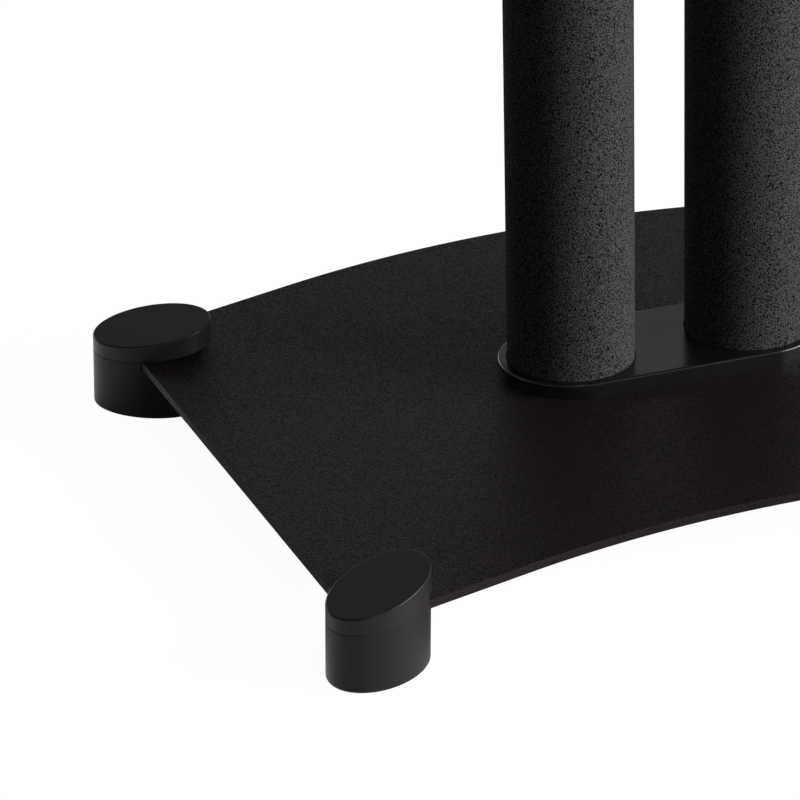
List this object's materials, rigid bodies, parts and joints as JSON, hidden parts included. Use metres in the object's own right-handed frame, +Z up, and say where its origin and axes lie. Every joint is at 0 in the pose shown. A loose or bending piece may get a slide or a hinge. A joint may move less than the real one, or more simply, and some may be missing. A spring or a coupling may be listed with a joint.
{
  "type": "speaker stand",
  "caption": "Floor stand for a loudspeaker: a bowed steel base plate on slanted oval feet, twin round pillars in a stadium shoe and a padded top plate.",
  "frame": {"origin": "on the floor plane, in the middle of the footprint's bounding box", "axes": "+Z up; X along the line of the two pillars; -Y toward the concave front edge of the base plate"},
  "size_m": [0.4126, 0.3218, 0.66],
  "materials": {
    "plate_black": "fine-textured satin black powder coat",
    "pillar_black": "textured black powder coat with a fine sparkle",
    "shoe_black": "smooth satin black moulding",
    "cap_black": "smooth satin black moulding",
    "body_black": "smooth satin black moulding",
    "end_plate_steel": "plain mild steel",
    "bolt_black": "black oxide",
    "zinc": "bright zinc plate",
    "brass": "turned brass",
    "spike_steel": "turned and nickel-plated",
    "floor_rubber": "matt black rubber",
    "speaker_rubber": "matt black rubber"
  },
  "bodies": {
    "stand": {"base_plate": "plate_black", "top_plate": "plate_black", "pillar_left": "pillar_black", "pillar_right": "pillar_black", "lower_shoe": "shoe_black", "upper_shoe": "shoe_black", "foot_cap_front_left": "cap_black", "foot_cap_front_right": "cap_black", "foot_cap_rear_left": "cap_black", "foot_cap_rear_right": "cap_black", "foot_body_front_left": "body_black", "foot_body_front_right": "body_black", "foot_body_rear_left": "body_black", "foot_body_rear_right": "body_black", "end_plate_lower_left": "end_plate_steel", "end_plate_lower_right": "end_plate_steel", "end_plate_upper_left": "end_plate_steel", "end_plate_upper_right": "end_plate_steel", "base_bolts": "bolt_black", "top_bolts": "bolt_black", "base_washers": "zinc", "foot_screws": "zinc", "spike_bush_front_left": "brass", "spike_bush_front_right": "brass", "spike_bush_rear_left": "brass", "spike_bush_rear_right": "brass", "floor_pad_front_left": "floor_rubber", "floor_pad_front_right": "floor_rubber", "floor_pad_rear_left": "floor_rubber", "floor_pad_rear_right": "floor_rubber", "speaker_pad_front_left": "speaker_rubber", "speaker_pad_front_right": "speaker_rubber", "speaker_pad_rear_left": "speaker_rubber", "speaker_pad_rear_right": "speaker_rubber"},
    "spike_front_left": {"carpet_spike_front_left": "spike_steel"},
    "spike_front_right": {"carpet_spike_front_right": "spike_steel"},
    "spike_rear_left": {"carpet_spike_rear_left": "spike_steel"},
    "spike_rear_right": {"carpet_spike_rear_right": "spike_steel"}
  },
  "joints": [
    {"name": "spike_front_left_wind", "type": "slide", "parent": "stand", "child": "spike_front_left", "axis": [0, 0, -1], "range_m": [0, 0.01]},
    {"name": "spike_front_right_wind", "type": "slide", "parent": "stand", "child": "spike_front_right", "axis": [0, 0, -1], "range_m": [0, 0.01]},
    {"name": "spike_rear_left_wind", "type": "slide", "parent": "stand", "child": "spike_rear_left", "axis": [0, 0, -1], "range_m": [0, 0.01]},
    {"name": "spike_rear_right_wind", "type": "slide", "parent": "stand", "child": "spike_rear_right", "axis": [0, 0, -1], "range_m": [0, 0.01]}
  ]
}
